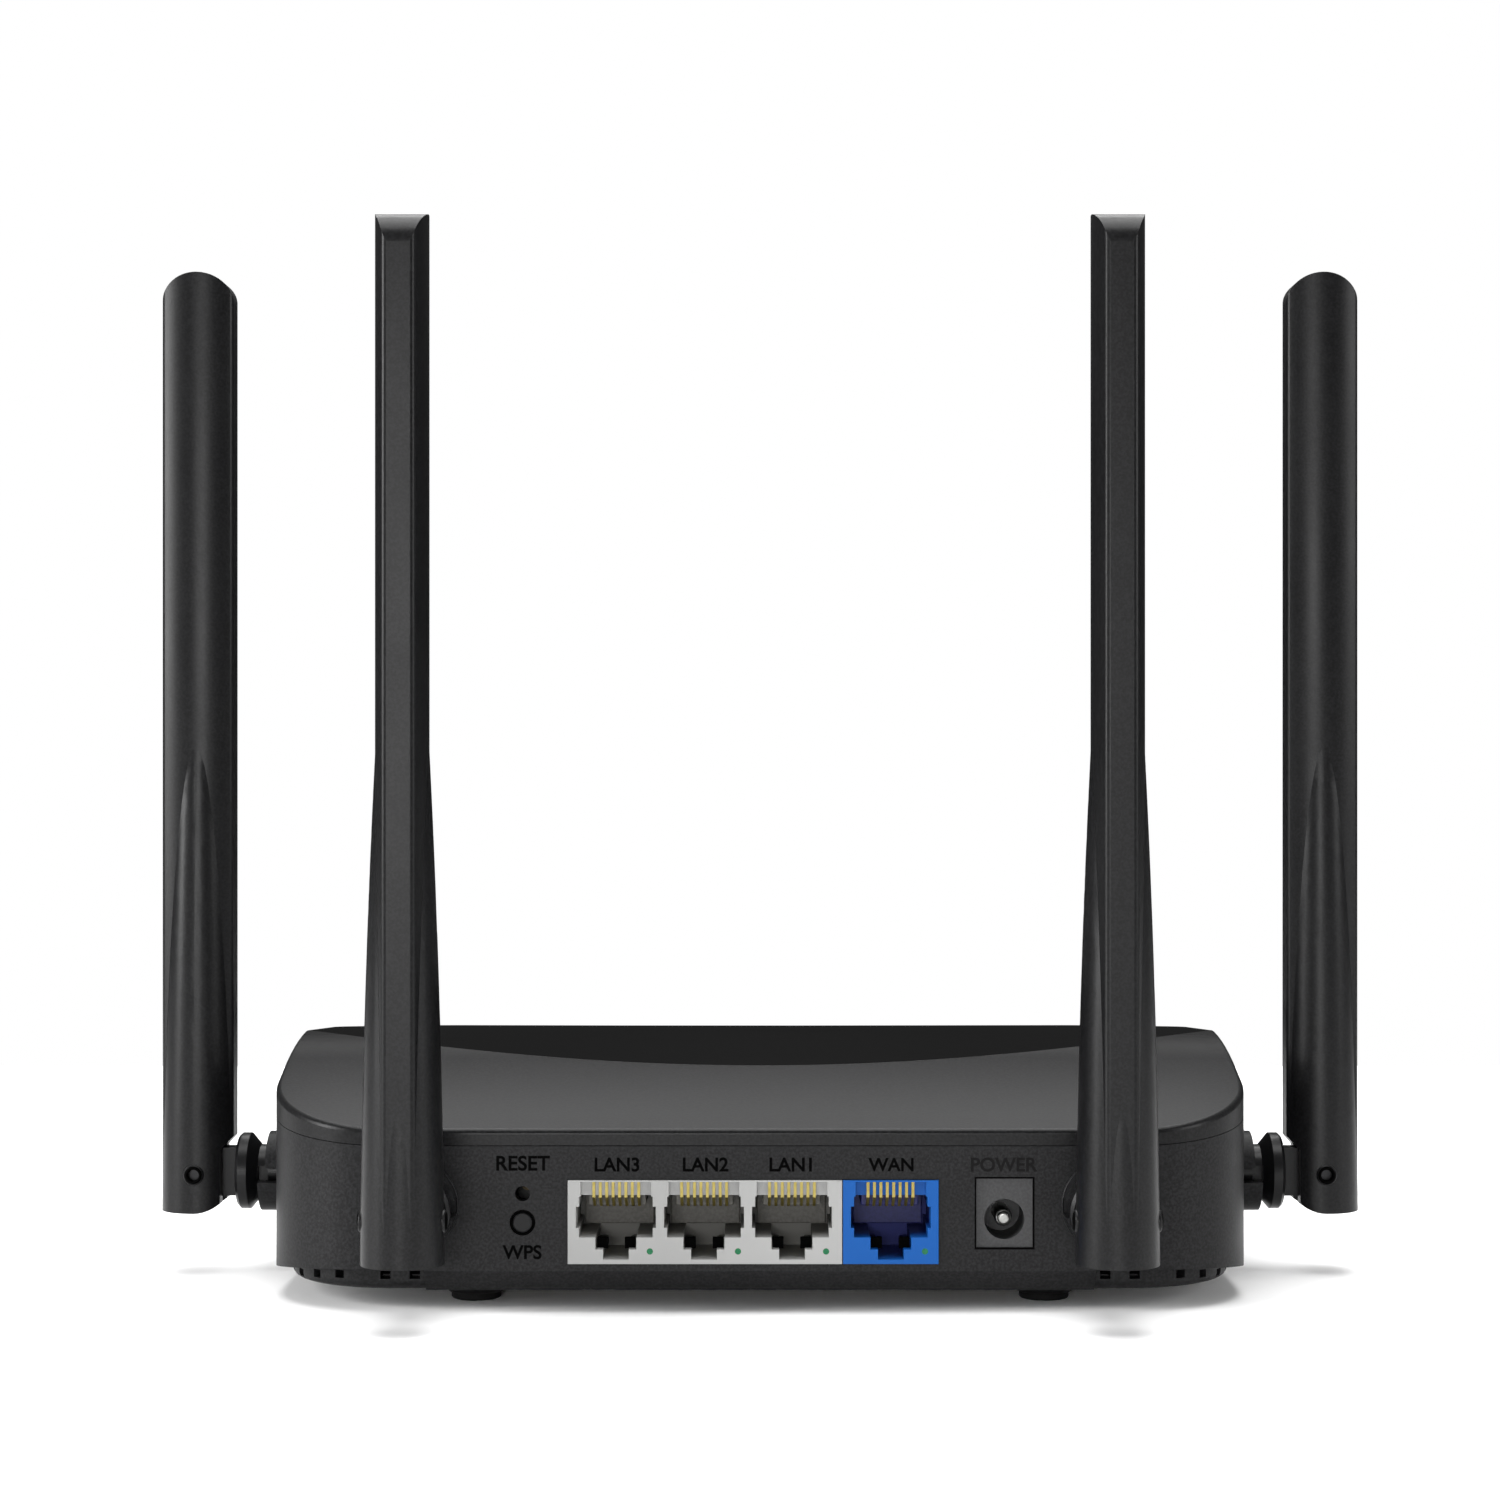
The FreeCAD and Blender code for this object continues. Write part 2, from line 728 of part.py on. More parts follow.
def feet():
    zero = Size("0", 0)
    outline = [
        (zero, zero),
        (d.foot_radius - 0.4, zero),
        (d.foot_radius, zero + 0.4),
        (d.foot_radius, d.foot_z),
        (d.foot_spigot, d.foot_z),
        (d.foot_spigot, d.foot_z + 1.1),
        (zero, d.foot_z + 1.1),
    ]
    pad = turned("foot_pad", outline, {1: Size("0.4", 0.4)})
    names = ("foot_rear_left", "foot_front_left", "foot_rear_right", "foot_front_right")
    for copy, name in zip(at_feet("foot_at", pad), names):
        node(copy, name)


def screw(name, seat_z, head, top_z, head_height):
    """A pan-head screw driven upwards, or downwards where its top is below its seat."""
    zero = Size("0", 0)
    away = -1 if top_z.value > seat_z.value else 1
    outline = [
        (zero, seat_z + away * head_height),
        (head - 0.5, seat_z + away * head_height),
        (head, seat_z + away * (head_height - 0.5)),
        (head, seat_z),
        (d.screw_radius, seat_z),
        (d.screw_radius, top_z),
        (zero, top_z),
    ]
    return turned(name, outline)


def screws():
    case_screw = screw("case_screw", d.screw_seat_z, d.screw_head, d.post_z + 8, 1.7)
    node(group("case_screws", *at_posts("case_screw_at", case_screw)))
    board_screw = screw("board_screw", d.board_z, d.screw_head, d.base_z + 0.8, 1.5)
    node(group("board_screws", *at_board_screws("board_screw_at", board_screw)))


# --------------------------------------------------------------------------------------------------
# Circuit board and what stands on it
# --------------------------------------------------------------------------------------------------


def circuit_board():
    plate = block(
        "board_plate",
        (-d.board_half, d.board_half),
        (d.board_rear_y, d.board_front_y),
        (d.board_z - d.board_thick, d.board_z),
    )
    hole = rod("board_hole", "Z", d.screw_radius + 0.1, (d.floor_z, d.board_z + 1), origin_axis)
    node(cut("main_board", plate, *at_board_screws("board_hole_at", hole)))


def on_board(name, x, y, low, high):
    """A box that stands on the board, or on what lies there, between two heights above it."""
    pairs = [tuple(Size(repr(float(n)), float(n)) for n in pair) for pair in (x, y)]
    return block(name, *pairs, (d.board_z + low, d.board_z + high))


def chips():
    node(on_board("processor", (-7, 7), (6, 20), 0, 1.2))
    node(on_board("thermal_pad", (-6.5, 6.5), (6.5, 19.5), 1.2, 2.0))
    base = on_board("sink_base", (-14, 14), (-1, 27), 2.0, 4.0)
    fins = [on_board(f"fin_{i}", (-13.6 + 3.4 * i, -12.6 + 3.4 * i), (-1, 27), 3.5, 12) for i in range(8)]
    node(joined("heat_sink", base, *fins))
    shields = [
        on_board(f"shield_{i}", (26 * hand - 8, 26 * hand + 8), (-4, 18), 0, 2.3)
        for i, hand in enumerate(EAST_WEST)
    ]
    node(group("radio_shields", *shields))
    magnets = [
        on_board(f"magnetic_{i}", (x - 5, x + 5), (-15, -8), 0, 3.2)
        for i, x in enumerate((-22.9, -8.9, 5.1, 20.7))
    ]
    node(group("line_transformers", *magnets))
    cans = []
    for i, (x, y, radius) in enumerate(((36.0, -17.0, 3.1), (44.0, -17.0, 3.1), (40.0, -9.5, 2.5))):
        level = (d.board_z, d.board_z + 10.5)
        cans.append(rod(f"can_{i}", "Z", Size(repr(radius), radius), level, (x, y)))
    node(group("capacitors", *cans))


# --------------------------------------------------------------------------------------------------
# Network sockets
# --------------------------------------------------------------------------------------------------


def socket_room(name, x):
    """The space that an eight-contact plug and its latch enter, with the ledge above for the contacts."""
    right = [
        (d.latch_half, d.latch_z),
        (d.latch_half, d.tab_z),
        (d.tab_half, d.tab_z),
        (d.tab_half, d.shoulder_z),
        (d.cavity_half, d.shoulder_z),
        (d.cavity_half, d.notch_low_z),
        (d.notch_half, d.notch_low_z),
        (d.notch_half, d.notch_high_z),
        (d.cavity_half, d.notch_high_z),
        (d.cavity_half, d.cavity_top_z),
    ]
    outline = [(x + a, b) for a, b in right] + [(x - a, b) for a, b in reversed(right)]
    front = d.jack_front_y - 1
    plug_room = padded(f"{name}_room", "XZ_Plane", outline, front, d.jack_front_y + d.cavity_deep)
    ledge = block(
        f"{name}_ledge",
        (x - d.ledge_half, x + d.ledge_half),
        (front, d.jack_front_y + d.ledge_deep),
        (d.cavity_top_z - 0.5, d.jack_top_z - 0.25),
    )
    lamp_y = (front, d.jack_front_y + d.lamp_length)
    lamp = rod(f"{name}_lamp_hole", "Y", d.lamp_radius, lamp_y, (x + d.lamp_shift_x, d.lamp_z))
    return [plug_room, ledge, lamp]


def contact_strip():
    """One spring contact: down over the ledge, then sloping back into the socket."""
    back = d.jack_front_y + d.ledge_deep
    top = d.jack_top_z - 0.35
    outline = [
        (back - d.contact_thick, top),
        (back - d.contact_thick, d.cavity_top_z - 0.35),
        (d.contact_end_y - 0.1, d.contact_end_z - 0.1),
        (d.contact_end_y, d.contact_end_z + 0.2),
        (back, d.cavity_top_z - 0.05),
        (back, top),
    ]
    return padded("contact_strip", "YZ_Plane", outline, -d.contact_width / 2, d.contact_width / 2)


def network_sockets():
    lan_x = [d.port_mid_x + d.port_pitch * i for i in (-1, 0, 1)]
    depth = (d.jack_front_y, d.jack_rear_y)
    height = (d.board_z, d.jack_top_z)
    rooms = [room for i, x in enumerate(lan_x) for room in socket_room(f"lan_{i}", x)]
    node(cut("lan_jack_block", block("lan_block", (d.lan_low_x, d.lan_high_x), depth, height), *rooms))
    wan_block = block("wan_block", (d.wan_low_x, d.wan_high_x), depth, height)
    node(cut("wan_jack", wan_block, *socket_room("wan", d.wan_x)))
    strip = contact_strip()
    for name, places in (("lan_contacts", lan_x), ("wan_contacts", [d.wan_x])):
        strips = []
        for i, x in enumerate(places):
            for k in range(8):
                copy = group(f"{name}_{i}_{k}", strip)
                strips.append(put(copy, x + d.contact_pitch * (k - 3.5), 0, 0))
        node(group(name, *strips))
    lamps = []
    for i, x in enumerate(lan_x + [d.wan_x]):
        along = (d.jack_front_y, d.jack_front_y + d.lamp_length)
        lamps.append(rod(f"link_lamp_{i}", "Y", d.lamp_radius, along, (x + d.lamp_shift_x, d.lamp_z)))
    node(group("link_lamps", *lamps))


# --------------------------------------------------------------------------------------------------
# Power inlet
# --------------------------------------------------------------------------------------------------


def power_inlet():
    sides = (d.inlet_x - d.inlet_half, d.inlet_x + d.inlet_half)
    inside_y = d.rear_y + d.wall + 0.1
    nose = block("inlet_nose", sides, (d.inlet_front_y, inside_y + 1), (d.inlet_low_z, d.inlet_high_z))
    trunk = block("inlet_trunk", sides, (inside_y, d.inlet_rear_y), (d.board_z, d.inlet_high_z))
    centre = (d.inlet_x, d.inlet_axis_z)
    bore = rod("inlet_bore_room", "Y", d.inlet_bore, (d.inlet_front_y - 1, d.inlet_bore_end_y), centre)
    seat = rod("inlet_pin_seat", "Y", d.inlet_pin_root, (d.inlet_front_y, d.inlet_bore_end_y + 3), centre)
    node(cut("inlet_housing", joined("inlet_solid", nose, trunk), bore, seat))
    zero = Size("0", 0)
    length = d.inlet_bore_end_y + 3 - (d.inlet_front_y + 0.9)
    outline = [
        (zero, zero),
        (d.inlet_pin_root, zero),
        (d.inlet_pin_root, 3 + d.inlet_pin_gap),
        (d.inlet_pin, 3 + d.inlet_pin_gap),
        (d.inlet_pin, length - 0.5),
        (d.inlet_pin - 0.5, length),
        (zero, length),
    ]
    pin = turned("inlet_pin_form", outline, {4: Size("0.5", 0.5)})
    placed_pin = group("inlet_pin", pin)
    node(put(placed_pin, d.inlet_x, d.inlet_bore_end_y + 3, d.inlet_axis_z, Rotation(Vector(1, 0, 0), 90)))


# --------------------------------------------------------------------------------------------------
# Buttons
# --------------------------------------------------------------------------------------------------


def button_cap():
    """The round cap that shows in the rear wall, with the flange that keeps it in."""
    zero = Size("0", 0)
    face = zero
    wall_in = d.wall + 0.55
    outline = [
        (zero, face),
        (d.button_radius - 0.35, face),
        (d.button_radius, face + 0.35),
        (d.button_radius, wall_in),
        (d.button_radius + 1.1, wall_in),
        (d.button_radius + 1.1, wall_in + 0.9),
        (d.button_radius - 0.5, wall_in + 0.9),
        (d.button_radius - 0.5, wall_in + 2.6),
        (zero, wall_in + 2.6),
    ]
    form = turned("button_cap_form", outline, {1: Size("0.35", 0.35)})
    cap = group("wps_button_cap", form)
    node(put(cap, d.button_x, d.button_face_y, d.button_z, TURNS["Y"]))


def push_switch(name, z, plunger_radius, tip_y, depth):
    """A side-push switch on the board: a body with a bore, and the plunger that slides in it."""
    face_y = tip_y + 1.5
    half = Size("2.9", 2.9)
    sides = (d.button_x - half, d.button_x + half)
    body = block(f"{name}_case", sides, (face_y, face_y + depth), (d.board_z, z + 2.3))
    bore = rod(f"{name}_bore", "Y", plunger_radius + 0.1, (face_y - 1, face_y + 1.8), (d.button_x, z))
    node(cut(f"{name}_switch_body", body, bore))
    node(rod(f"{name}_switch_plunger", "Y", plunger_radius, (tip_y, face_y + 1.1), (d.button_x, z)))


def buttons():
    button_cap()
    cap_end = d.button_face_y + d.wall + 0.55 + 2.6
    push_switch("wps", d.button_z, d.button_radius - 0.5, cap_end, 3.4)
    push_switch("reset", d.reset_z, d.reset_plunger_radius, cap_end + 6, 3.4)


# --------------------------------------------------------------------------------------------------
# Antennas, made once in a frame of their own and copied to their four places
# --------------------------------------------------------------------------------------------------


def antenna_form():
    """The whole antenna: a paddle with bowed wide faces, a round flare that grows from it towards the hinge,
    an arched top, and a heel rounded about the hinge pin."""
    land = d.antenna_land
    wide = d.antenna_half_width
    bow = d.antenna_half_thick - land
    bow_radius = (wide * wide + bow * bow) / (2 * bow)
    section = [(-land, -wide), (land, -wide), (land, wide), (-land, wide)]
    bows = {1: bow_radius, 3: bow_radius}
    paddle = padded("paddle", "XY_Plane", section, d.antenna_low_z, d.antenna_high_z, bows)
    doc.recompute()
    pad = paddle.Tip
    corners = [f"Edge{i}" for i, edge in enumerate(pad.Shape.Edges, start=1) if edge.BoundBox.ZLength > 100]
    crease = paddle.newObject("PartDesign::Fillet", "paddle_crease")
    crease.Base = (pad, corners)
    bind(crease, "Radius", d.crease_round)
    paddle.Tip = crease
    zero = Size("0", 0)
    flare_outline = [
        (zero, d.antenna_low_z),
        (d.flare_low_radius, d.antenna_low_z),
        (d.flare_high_radius, d.flare_high_z),
        (d.flare_high_radius - 1.5, d.flare_high_z + 22),
        (zero, d.flare_high_z + 22),
    ]
    flare = turned("flare", flare_outline, {1: d.flare_curve})
    heel_low = d.antenna_low_z
    heel_rise = d.hinge_z - 5.09
    back = d.antenna_back_y
    heel = [
        (-back, heel_low + 0.8),
        (-back + 0.8, heel_low),
        (d.pin_y, heel_low),
        (d.relief_y, heel_rise),
        (d.relief_y, d.relief_low_z),
        (wide, d.relief_high_z),
        (wide, d.antenna_high_z + 1),
        (-back, d.antenna_high_z + 1),
    ]
    profile = padded(
        "antenna_profile",
        "YZ_Plane",
        heel,
        Size("-10", -10),
        Size("10", 10),
        {0: Size("0.8", 0.8), 2: d.heel_round},
    )
    spring_z = d.antenna_high_z - d.antenna_arch
    stem_sides = (Size("-10", -10), Size("10", 10))
    stem = block("arch_stem", stem_sides, (-back, back), (d.antenna_low_z - 1, spring_z))
    curve = doc.addObject("Part::Ellipse", "arch_curve")
    bind(curve, "MajorRadius", wide)
    bind(curve, "MinorRadius", d.antenna_arch)
    put(curve, Size("-10", -10), 0, spring_z, Rotation(Vector(1, 1, 1), 120))
    crown = doc.addObject("Part::Extrusion", "arch_crown")
    crown.Base = curve
    crown.DirMode = "Custom"
    crown.Dir = Vector(1, 0, 0)
    crown.LengthFwd = 20
    crown.Solid = True
    arch = joined("arch", stem, crown)
    return shared("antenna_form", joined("paddle_and_flare", paddle, flare), profile, arch)


def antenna_shells(form):
    """The sleeve and its cover part along the crease of one wide face. The sleeve holds the hollow and the
    fork slot that the knuckle's tongue turns in, open downwards and towards the housing."""
    wide = d.antenna_half_width
    ten = Size("10", 10)
    levels = (d.antenna_low_z - 1, d.antenna_high_z + 1)
    sleeve_side = block("sleeve_side", (-d.antenna_land, ten), (-wide - 1, wide + 1), levels)
    cover_side = block("cover_side", (-ten, -d.antenna_land), (-wide - 1, wide + 1), levels)
    reach = d.tongue_radius + 0.5
    pin_room = rod("pin_room", "X", d.pin_radius, (-ten, ten), (d.pin_y, d.hinge_z))
    hollow = block(
        "sleeve_hollow",
        (-ten, Size("1.3", 1.3)),
        (-wide + 2.1, wide - 2.1),
        (d.relief_high_z + 1, d.antenna_high_z - 8),
    )
    fork = block(
        "fork_slot",
        (-ten, d.fork_half),
        (d.pin_y - reach, wide + 1),
        (d.antenna_low_z - 1, d.hinge_z + reach),
    )
    sleeve = cut("sleeve", shared("sleeve_half", form, sleeve_side), pin_room, hollow, fork)
    cover = cut("cover", shared("cover_half", form, cover_side), pin_room)
    return sleeve, cover


def knuckle():
    """Tongue, collar, cone, neck and stub in one moulding: the stub turns in the housing's boss."""
    zero = Size("0", 0)
    turned_part = turned(
        "knuckle_turned",
        [
            (zero, d.collar_y),
            (d.collar_radius - 0.5, d.collar_y),
            (d.collar_radius, d.collar_y + 0.5),
            (d.collar_radius, d.collar_end_y),
            (d.neck_radius, d.neck_y),
            (d.neck_radius, d.boss_y - d.boss_gap),
            (d.stub_radius, d.boss_y - d.boss_gap),
            (d.stub_radius, d.stub_end_y),
            (zero, d.stub_end_y),
        ],
    )
    put(turned_part, 0, 0, d.hinge_z, TURNS["Y"])
    top = d.hinge_z + d.tongue_radius
    low = d.hinge_z - d.tongue_radius
    tongue = padded(
        "tongue",
        "YZ_Plane",
        [(d.pin_y, low), (d.collar_y + 0.5, low), (d.collar_y + 0.5, top), (d.pin_y, top)],
        d.fork_gap - d.antenna_land,
        d.fork_half - d.fork_gap,
        {3: d.tongue_radius + 0.001},
    )
    bore_span = (Size("-5", -5), Size("5", 5))
    bore = rod("tongue_bore", "X", d.pin_radius + d.pin_fit, bore_span, (d.pin_y, d.hinge_z))
    slots = []
    slot_level = (d.hinge_z - d.boss_slot / 2, d.hinge_z + d.boss_slot / 2)
    for i, (low_x, high_x) in enumerate(((-6.0, -2.6), (2.6, 6.0))):
        sides = (Size(repr(low_x), low_x), Size(repr(high_x), high_x))
        slots.append(block(f"neck_slot_{i}", sides, (d.neck_y - 0.1, d.boss_y), slot_level))
    return cut("knuckle", joined("knuckle_solid", turned_part, tongue), bore, *slots)


def antennas():
    sleeve, cover = antenna_shells(antenna_form())
    swivel = knuckle()
    clip_low = d.antenna_out + d.wall + 0.3
    clip_ring = rod("clip_ring", "Y", d.boss_radius - 1, (clip_low, clip_low + 1), (0, d.hinge_z))
    clip_hole = rod("clip_hole", "Y", d.stub_radius, (clip_low - 1, clip_low + 2), (0, d.hinge_z))
    clip = cut("clip", clip_ring, clip_hole)
    pin = rod("pin", "X", d.pin_radius, (-d.pin_half, d.pin_half), (d.pin_y, d.hinge_z))
    radiator = block(
        "radiator",
        (Size("0.5", 0.5), Size("1.3", 1.3)),
        (-d.antenna_half_width + 2.4, d.antenna_half_width - 2.4),
        (d.relief_high_z + 6, d.antenna_high_z - 20),
    )
    sources = {
        "antenna_sleeve": sleeve,
        "antenna_cover": cover,
        "hinge_pin": pin,
        "radiator_board": radiator,
        "swivel_knuckle": swivel,
        "retaining_clip": clip,
    }
    for name, source in sources.items():
        for copy in at_antennas(name, source):
            node(copy)


def lead_tube(name, points, radius):
    """A coaxial lead along straight runs joined by tangent arcs."""
    corners = [Vector(*point) for point in points]
    edges = []
    last = corners[0]
    for before, corner, after in zip(corners, corners[1:], corners[2:]):
        back = (before - corner).normalize()
        ahead = (after - corner).normalize()
        trim = 0.45 * min((before - corner).Length, (after - corner).Length)
        turn = math.pi - back.getAngle(ahead)
        bend_radius = trim / math.tan(turn / 2)
        start = corner + back * trim
        end = corner + ahead * trim
        inward = (back + ahead).normalize()
        middle = corner + inward * (math.hypot(bend_radius, trim) - bend_radius)
        edges.append(Part.LineSegment(last, start).toShape())
        edges.append(Part.Arc(start, middle, end).toShape())
        last = end
    edges.append(Part.LineSegment(last, corners[-1]).toShape())
    route = Part.Wire(edges)
    ring = Part.Wire([Part.Circle(corners[0], corners[1] - corners[0], radius).toShape()])
    tube = route.makePipeShell([ring], True, False)
    lead = doc.addObject("Part::Feature", name)
    lead.Shape = tube
    lead.Placement = Placement()
    plain_volume = route.Length * math.pi * radius**2
    print(name, "length", round(route.Length, 1), "volume ratio", round(tube.Volume / plain_volume, 3))
    return node(lead)


def antenna_leads():
    """Each lead runs from the inner end of a stub down to its radio on the board."""
    radius = d.lead_radius.value
    hinge_z = d.hinge_z.value
    rear_x = d.rear_antenna_x.value
    start_y = d.rear_y.value - d.antenna_out.value + d.stub_end_y.value + 0.8
    start_x = d.half_width.value + d.antenna_out.value - d.stub_end_y.value - 0.8
    side_y = d.side_antenna_y.value
    rest_z = d.board_z.value + radius + 0.1
    for side, hand in (("left", -1), ("right", 1)):
        rear = [
            (hand * rear_x, start_y, hinge_z),
            (hand * rear_x, start_y + 8, hinge_z),
            (hand * (rear_x - 2), start_y + 15, hinge_z - 3),
            (hand * (rear_x - 5), start_y + 22, rest_z + 1.4),
            (hand * (rear_x - 8.5), start_y + 29, rest_z),
        ]
        lead_tube(f"antenna_lead_rear_{side}", rear, radius)
        flank = [
            (hand * start_x, side_y, hinge_z),
            (hand * (start_x - 7), side_y, hinge_z),
            (hand * (start_x - 14), side_y + 2, hinge_z - 3),
            (hand * (start_x - 21), side_y + 5, rest_z + 1.6),
            (hand * (start_x - 28), side_y + 7, rest_z),
        ]
        lead_tube(f"antenna_lead_side_{side}", flank, radius)


# --------------------------------------------------------------------------------------------------
# The whole router
# --------------------------------------------------------------------------------------------------

bottom_shell()
top_cover()
light_parts()
feet()
screws()
circuit_board()
chips()
network_sockets()
power_inlet()
buttons()
antennas()
antenna_leads()
doc.recompute()

for item in doc.Objects:
    if "Invalid" in item.State or "Error" in item.State:
        raise RuntimeError(f"{item.Name} failed: {item.State}")
for piece in NODES:
    if piece.Shape.isNull() or not piece.Shape.isValid() or not piece.Shape.Solids:
        raise RuntimeError(f"{piece.Label} has no valid solid")

os.makedirs("parts", exist_ok=True)
for piece in NODES:
    piece.Shape.exportStep(f"parts/{piece.Label}.step")
print(len(NODES), "nodes")
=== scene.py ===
import math

import bpy
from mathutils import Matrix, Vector


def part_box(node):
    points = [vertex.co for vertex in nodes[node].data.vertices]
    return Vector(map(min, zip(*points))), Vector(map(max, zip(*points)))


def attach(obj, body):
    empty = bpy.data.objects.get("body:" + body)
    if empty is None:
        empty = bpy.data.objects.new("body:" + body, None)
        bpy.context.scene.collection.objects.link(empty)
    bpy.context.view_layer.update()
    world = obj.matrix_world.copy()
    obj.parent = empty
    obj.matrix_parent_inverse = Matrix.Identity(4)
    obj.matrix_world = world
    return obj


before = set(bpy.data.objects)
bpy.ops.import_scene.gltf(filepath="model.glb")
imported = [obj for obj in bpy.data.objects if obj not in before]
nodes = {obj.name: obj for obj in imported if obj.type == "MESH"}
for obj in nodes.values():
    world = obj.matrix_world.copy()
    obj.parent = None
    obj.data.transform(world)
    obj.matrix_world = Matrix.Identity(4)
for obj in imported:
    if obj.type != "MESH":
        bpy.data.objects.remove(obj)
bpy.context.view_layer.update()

MM = 0.001

# --------------------------------------------------------------------------------------------------
# Camera: level, on the router's middle line, about half a metre behind the wall that holds the sockets.
# --------------------------------------------------------------------------------------------------

bpy.ops.object.select_all(action="DESELECT")
bpy.ops.object.camera_add(location=(0, -0.520, 0.0875), rotation=(math.pi / 2, 0, 0))
camera = bpy.context.object
camera.data.lens = 72.6
camera.data.sensor_width = 36
camera.data.shift_x = -0.0067
camera.data.shift_y = 0.008
camera.data.clip_start = 0.01
bpy.context.scene.camera = camera

# --------------------------------------------------------------------------------------------------
# Studio: a sheet of white paper under the router and a white sky, with soft boxes at the left, at the right,
# above, high beyond the router and behind the camera. The sky looks white but lights little, and least near
# the horizon.
# --------------------------------------------------------------------------------------------------


def linear(hex_colour):
    """An sRGB hex colour as the linear values that a shader socket takes."""
    channels = [int(hex_colour[i : i + 2], 16) / 255 for i in (1, 3, 5)]
    return tuple(c / 12.92 if c <= 0.04045 else ((c + 0.055) / 1.055) ** 2.4 for c in channels) + (1.0,)


def add_node(tree, kind, links=None, **settings):
    """Adds a node to a tree. Settings are its properties or its inputs' values, links its inputs' sources."""
    made = tree.nodes.new(kind)
    for name, value in settings.items():
        if hasattr(made, name):
            setattr(made, name, value)
        else:
            made.inputs[name.replace("_", " ")].default_value = value
    for name, source in (links or {}).items():
        tree.links.new(source, made.inputs[name])
    return made


def new_material(name, hex_colour, roughness, metallic=0.0):
    """A material with one Principled shader, and the tree and the shader to build on."""
    material = bpy.data.materials.new(name)
    material.use_nodes = True
    tree = material.node_tree
    shader = tree.nodes["Principled BSDF"]
    shader.inputs["Base Color"].default_value = linear(hex_colour)
    shader.inputs["Roughness"].default_value = roughness
    shader.inputs["Metallic"].default_value = metallic
    return material, tree, shader


def soft_box(name, place, aim, size, power):
    """A rectangular area lamp, out of the camera's sight, that points from its place at a spot."""
    bpy.ops.object.light_add(type="AREA", location=place)
    lamp = bpy.context.object
    lamp.name = name
    lamp.data.shape = "RECTANGLE"
    lamp.data.size = size[0]
    lamp.data.size_y = size[1]
    lamp.data.energy = power
    lamp.visible_camera = False
    lamp.rotation_euler = (Vector(aim) - Vector(place)).to_track_quat("-Z", "Y").to_euler()


bpy.ops.object.select_all(action="DESELECT")
bpy.ops.mesh.primitive_plane_add(size=1.1, location=(0, -0.2, 0))
floor = bpy.context.object
floor.name = "studio_floor"
paper, paper_tree, paper_shader = new_material("white_paper_sweep", "#fbfbfb", 0.9)
paper_grain = add_node(paper_tree, "ShaderNodeTexNoise", Scale=400.0)
paper_bump = add_node(paper_tree, "ShaderNodeBump", {"Height": paper_grain.outputs["Fac"]}, Strength=0.02)
paper_tree.links.new(paper_bump.outputs["Normal"], paper_shader.inputs["Normal"])
floor.data.materials.append(paper)

soft_box("box_left", (-0.95, -0.40, 0.35), (0, -0.02, 0.08), (0.25, 0.6), 13.0)
soft_box("box_right", (0.95, -0.45, 0.35), (0, -0.02, 0.08), (0.3, 0.5), 4.0)
soft_box("box_above", (0.0, -0.05, 1.10), (0, -0.05, 0.0), (0.9, 0.9), 15.0)
soft_box("box_beyond", (0.0, 0.50, 0.72), (0, 0.0, 0.03), (0.9, 0.25), 3.8)
soft_box("box_camera", (-0.10, -1.25, 0.16), (0, -0.04, 0.02), (0.35, 0.15), 5.0)

world = bpy.data.worlds.new("white_studio")
bpy.context.scene.world = world
world.use_nodes = True
sky = world.node_tree
sky_place = add_node(sky, "ShaderNodeTexCoord")
sky_axes = add_node(sky, "ShaderNodeSeparateXYZ", {"Vector": sky_place.outputs["Generated"]})
sky_rise = add_node(sky, "ShaderNodeMapRange", {"Value": sky_axes.outputs["Z"]}, To_Min=0.02, To_Max=0.36)
sky_rise.inputs["From Min"].default_value = 0.12
sky_rise.inputs["From Max"].default_value = 0.55
sky_sight = add_node(sky, "ShaderNodeLightPath")
sky_light = sky.nodes["Background"]
sky.links.new(sky_rise.outputs["Result"], sky_light.inputs["Strength"])
sky_light.inputs["Color"].default_value = (1, 1, 1, 1)
sky_seen = add_node(sky, "ShaderNodeBackground", Color=(1, 1, 1, 1), Strength=1.0)
sky_mix = add_node(sky, "ShaderNodeMixShader")
sky.links.new(sky_sight.outputs["Is Camera Ray"], sky_mix.inputs[0])
sky.links.new(sky_light.outputs[0], sky_mix.inputs[1])
sky.links.new(sky_seen.outputs[0], sky_mix.inputs[2])
sky.links.new(sky_mix.outputs[0], sky.nodes["World Output"].inputs["Surface"])
bpy.context.scene.view_settings.view_transform = "Standard"
